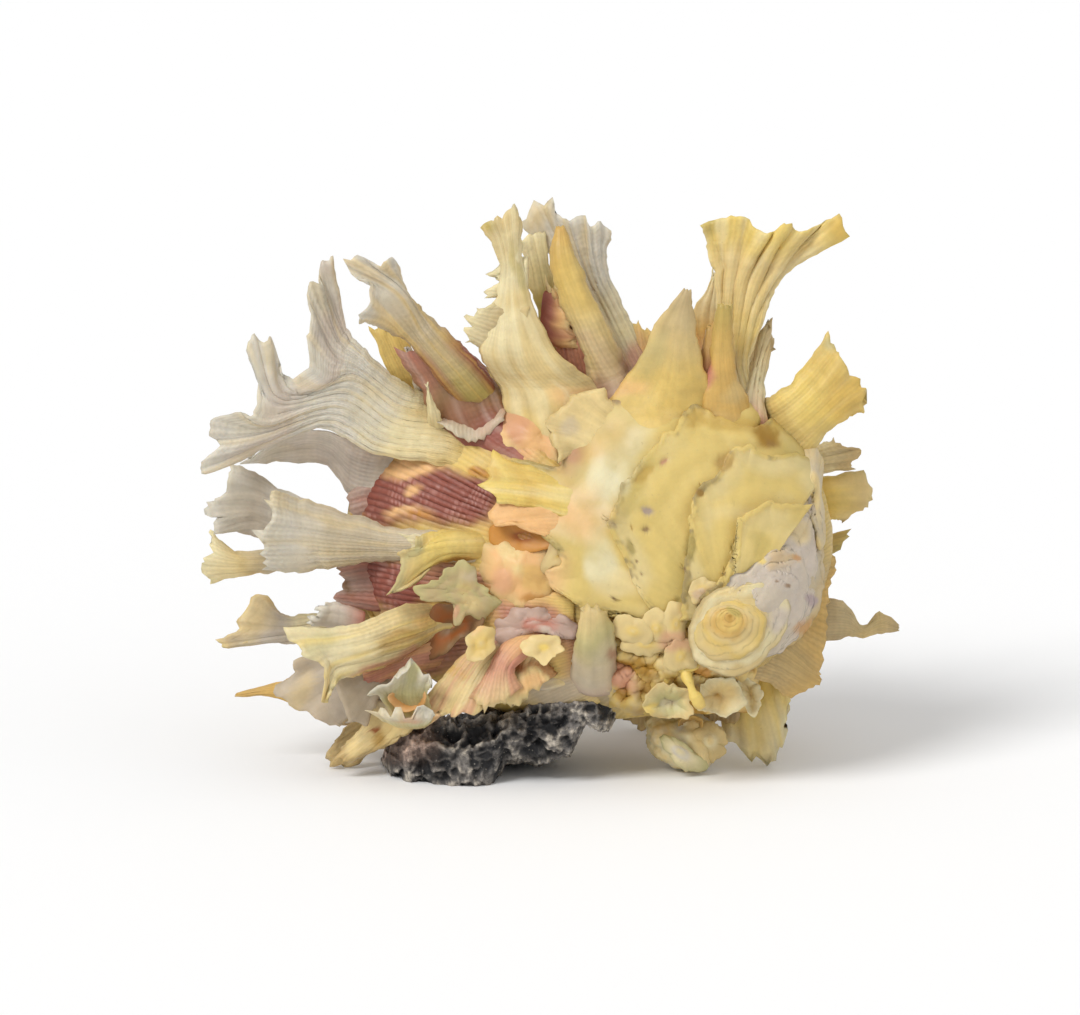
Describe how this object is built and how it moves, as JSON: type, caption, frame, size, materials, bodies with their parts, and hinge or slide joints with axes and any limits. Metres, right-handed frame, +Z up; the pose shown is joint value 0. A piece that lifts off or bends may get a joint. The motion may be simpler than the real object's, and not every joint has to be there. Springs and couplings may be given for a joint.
{
  "type": "spiny oyster shell",
  "caption": "Closed spiny oyster shell with broad forked fronds around two domed valves, standing on the piece of dark rock it grew on.",
  "frame": {"origin": "on the floor, under the middle of the box around the whole object", "axes": "+X to the right along the shell's length, -Y out of the upper valve's face towards the viewer, +Z up from the floor"},
  "size_m": [0.1756, 0.0958, 0.1418],
  "materials": {
    "upper_shell": "satin",
    "lower_shell": "satin",
    "dark_rock": "rough and porous"
  },
  "bodies": {
    "root": {"upper_valve": "upper_shell", "lower_valve": "lower_shell", "rock": "dark_rock"}
  },
  "joints": []
}
